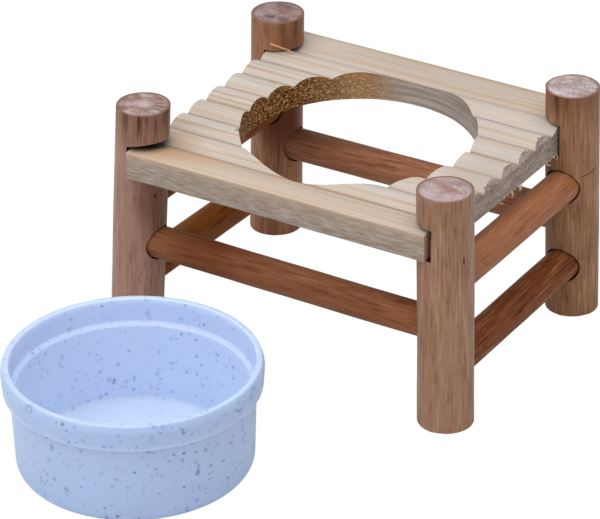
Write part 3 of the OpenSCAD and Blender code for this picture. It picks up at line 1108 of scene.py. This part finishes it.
def leave_uneven(board):
    """Lets the board's faces wave a little."""
    texture = bpy.data.textures.new("board_wave", "CLOUDS")
    texture.noise_scale = BOARD_WAVE_SIZE
    wave = board.modifiers.new("wave", "DISPLACE")
    wave.texture = texture
    wave.texture_coords = "LOCAL"
    wave.strength = BOARD_WAVE
    apply(board, wave)


def lengthen_right_end(board):
    """Moves the faces of the board's right end outwards."""
    end_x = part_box("top_board")[1].x
    for face in board.data.polygons:
        face.select = face.normal.x > END_FACE_FACING and end_x - face.center.x < END_FACE_REACH
    bpy.ops.object.mode_set(mode="EDIT")
    bpy.ops.transform.translate(value=(RIGHT_END_EXTRA, 0, 0))
    bpy.ops.object.mode_set(mode="OBJECT")


def broken_edge_cutter():
    """Long leaning block over the end's upper edge, between the two right legs."""
    end_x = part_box("top_board")[1].x + RIGHT_END_EXTRA
    front, back = BROKEN_EDGE_SPAN
    lean = Vector((math.cos(BROKEN_EDGE_LEAN), 0, math.sin(BROKEN_EDGE_LEAN)))
    edge = Vector((end_x, (front + back) / 2, BROKEN_EDGE_Z))
    return block(
        (END_CUT_W, back - front, 2 * END_CUT_W), edge + lean * (END_CUT_W / 2), (0, -BROKEN_EDGE_LEAN, 0)
    )


def front_corner_cutter():
    """Block over the end's front corner, which is shorter inside the front leg's housing."""
    low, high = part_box("top_board")
    return block((END_CUT_W, 2 * FRONT_CORNER, 4 * END_CUT_W), (high.x + END_CUT_W / 2, low.y, low.z))


def chip_cutter(along, size, turn):
    """Small turned block on the top edge of the board's right end."""
    end_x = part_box("top_board")[1].x
    edge = [p for p in node_points("top_board") if end_x - p.x < END_POINT_REACH]
    near = min(edge, key=lambda p: abs(p.y - along) - p.z)
    broken_back = (near.z - BROKEN_EDGE_Z) * math.tan(BROKEN_EDGE_LEAN)
    return block(
        (size, size, size), (end_x + RIGHT_END_EXTRA - broken_back, along, near.z),
        (math.radians(turn), math.radians(45), math.radians(2 * turn)),
    )


def make_board():
    """The fluted board: sliced, left a little uneven, and broken and chipped at its right end."""
    board = sliced_board()
    leave_uneven(board)
    lengthen_right_end(board)
    cut_away(board, broken_edge_cutter())
    cut_away(board, front_corner_cutter())
    for along, size, turn in CHIPS:
        cut_away(board, chip_cutter(along * MM, size * MM, turn))
    board.data.materials.clear()
    for material in (planed_fir(), sawn_fir_end(), routed_hole_wall()):
        board.data.materials.append(material)
    planed_slot, end_slot, hole_slot = range(3)
    low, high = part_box("top_board")
    for face in board.data.polygons:
        from_end = min(face.center.x - low.x, high.x - face.center.x)
        from_axis = (face.center.xy - HOLE_CENTRE.xy).length
        if abs(face.normal.x) > BOARD_END_FACING and from_end < BOARD_END_REACH:
            face.material_index = end_slot
        elif from_axis < HOLE_R + HOLE_REACH and abs(face.normal.z) < HOLE_STEEPNESS:
            face.material_index = hole_slot
        else:
            face.material_index = planed_slot
    smooth(board, BOARD_SMOOTH)
    fit(board, "stand", "top_board")


# Torn wood


def make_curls(material):
    """Curls of fibre that the saw left under the board's right end: one open ring, then copies."""
    bpy.ops.object.select_all(action="DESELECT")
    bpy.ops.mesh.primitive_torus_add(
        major_segments=32, minor_segments=8, major_radius=1 * MM, minor_radius=CURL_THICKNESS / 2
    )
    curl = take_name("torn_curl")
    bpy.ops.object.mode_set(mode="EDIT")
    bpy.ops.mesh.select_all(action="SELECT")
    bpy.ops.mesh.bisect(plane_co=(CURL_OPENING, 0, 0), plane_no=(1, 0, 0), use_fill=True, clear_outer=True)
    bpy.ops.object.mode_set(mode="OBJECT")
    curl.data.materials.append(material)
    end_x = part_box("top_board")[1].x + RIGHT_END_EXTRA - CURL_SETBACK
    seat_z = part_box("top_board")[0].z
    for number, (along, radius, turn) in enumerate(CURLS):
        copy = curl.copy()
        copy.data = curl.data.copy()
        copy.name = "torn_curl_" + str(number + 1)
        bpy.context.scene.collection.objects.link(copy)
        copy.location = (end_x, along * MM, seat_z - CURL_DROP * radius * MM)
        copy.rotation_euler = (math.radians(90), math.radians(turn), CURL_YAW)
        copy.scale = (radius, radius, 1)
        select_only(copy)
        bpy.ops.object.transform_apply(location=True, rotation=True, scale=True)
        smooth(copy, TORN_SMOOTH)
        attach(copy, "stand")
    bpy.data.objects.remove(curl)


def make_splinter(material):
    """Long splinter that the saw lifted from the back left leg, over the board."""
    start, end = (Vector(point) * MM for point in SPLINTER_ENDS)
    bpy.ops.object.select_all(action="DESELECT")
    bpy.ops.mesh.primitive_cone_add(
        vertices=12, radius1=SPLINTER_W / 2, radius2=SPLINTER_W / 8, depth=(end - start).length,
        location=(start + end) / 2, rotation=(end - start).to_track_quat("Z", "Y").to_euler(),
    )
    splinter = take_name("lifted_splinter")
    bpy.ops.object.transform_apply(location=True, rotation=True, scale=True)
    splinter.data.materials.append(material)
    smooth(splinter, TORN_SMOOTH)
    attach(splinter, "stand")


# Bowl


def rounded(corners):
    """An open line through corners, each given as radius, height and rounding, with the rounds as arcs."""
    points = [Vector(corners[0][:2])]
    for before, corner, after in zip(corners, corners[1:], corners[2:]):
        at = Vector(corner[:2])
        back = (Vector(before[:2]) - at).normalized()
        ahead = (Vector(after[:2]) - at).normalized()
        half = back.angle(ahead) / 2
        rounding = corner[2]
        centre = at + (back + ahead).normalized() * (rounding / math.sin(half))
        start = at + back * (rounding / math.tan(half)) - centre
        sweep = start.angle_signed(at + ahead * (rounding / math.tan(half)) - centre)
        steps = max(2, math.ceil(abs(sweep) / ARC_STEP))
        for k in range(steps + 1):
            points.append(centre + Matrix.Rotation(-sweep * k / steps, 2) @ start)
    points.append(Vector(corners[-1][:2]))
    return points


def bowl_section(height, rim_r):
    """Half the bowl's section, from the middle of its base round the rim to the middle of its floor."""
    body_r = HOLE_R - BOWL_CLEARANCE
    base_r = body_r - BODY_DRAFT
    band_z = height - RIM_BAND_H
    shoulder_z = band_z - SHOULDER_H
    ring_r = base_r - BASE_ROUND - FOOT_RING_W
    return rounded([
        (0.0, BASE_RECESS, 0.0),
        (ring_r, BASE_RECESS, FOOT_RING_ROUND),
        (ring_r, 0.0, FOOT_RING_ROUND),
        (base_r, 0.0, BASE_ROUND),
        (body_r, shoulder_z, BAND_EDGE_ROUND),
        (rim_r - RIM_DRAFT, band_z, BAND_EDGE_ROUND),
        (rim_r, height - LIP_DROP, LIP_SIDE_ROUND),
        (rim_r - LIP_LEAN, height, LIP_ROUND),
        (rim_r - RIM_WALL, height, LIP_ROUND),
        (rim_r - RIM_DRAFT - RIM_WALL, band_z + LEDGE_RISE, LEDGE_ROUND),
        (body_r - BOWL_WALL, shoulder_z + LEDGE_RISE, LEDGE_ROUND),
        (base_r - BOWL_WALL, BOWL_WALL, FLOOR_ROUND),
        (0.0, BOWL_WALL, 0.0),
    ])


def make_bowl():
    """The bowl: half its section drawn point by point, then spun round its axis."""
    low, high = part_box("bowl")
    axis = Vector(((low.x + high.x) / 2, (low.y + high.y) / 2, 0))
    section = bowl_section(high.z, (high.x - low.x) / 2)
    bpy.ops.object.select_all(action="DESELECT")
    bpy.ops.mesh.primitive_plane_add(size=MM)
    bowl = take_name("moulded_bowl")
    bpy.ops.object.mode_set(mode="EDIT")
    bpy.ops.mesh.select_all(action="SELECT")
    bpy.ops.mesh.merge(type="CENTER")
    bpy.ops.transform.translate(value=axis + Vector((section[0].x, 0, section[0].y)))
    for here, there in zip(section, section[1:]):
        bpy.ops.mesh.extrude_vertices_move(
            TRANSFORM_OT_translate={"value": (there.x - here.x, 0, there.y - here.y)}
        )
    bpy.ops.mesh.select_all(action="SELECT")
    bpy.ops.mesh.spin(steps=BOWL_STEPS, angle=2 * math.pi, center=axis, axis=(0, 0, 1))
    bpy.ops.mesh.select_all(action="SELECT")
    bpy.ops.mesh.remove_doubles(threshold=BOWL_MERGE)
    bpy.ops.mesh.normals_make_consistent(inside=False)
    bpy.ops.object.mode_set(mode="OBJECT")
    bowl.data.materials.append(speckled_plastic(axis))
    smooth(bowl, BOWL_SMOOTH)
    fit(bowl, "bowl", "bowl")


make_camera()
make_table()
make_light()
swell = swell_texture()
socket_wall = socket_wall_painted_shade()
for number, node in enumerate(LEG_TONES):
    make_leg(number, node, swell, socket_wall)
for number, node in enumerate(RUNG_TONES):
    make_rung(number + len(LEG_TONES), node, swell)
make_board()
make_curls(torn_fibre("torn_raw_fir", "#A88E78", "#D6C0AA"))
make_splinter(torn_fibre("torn_raw_hardwood", "#A9714C", "#CFA07C"))
make_bowl()
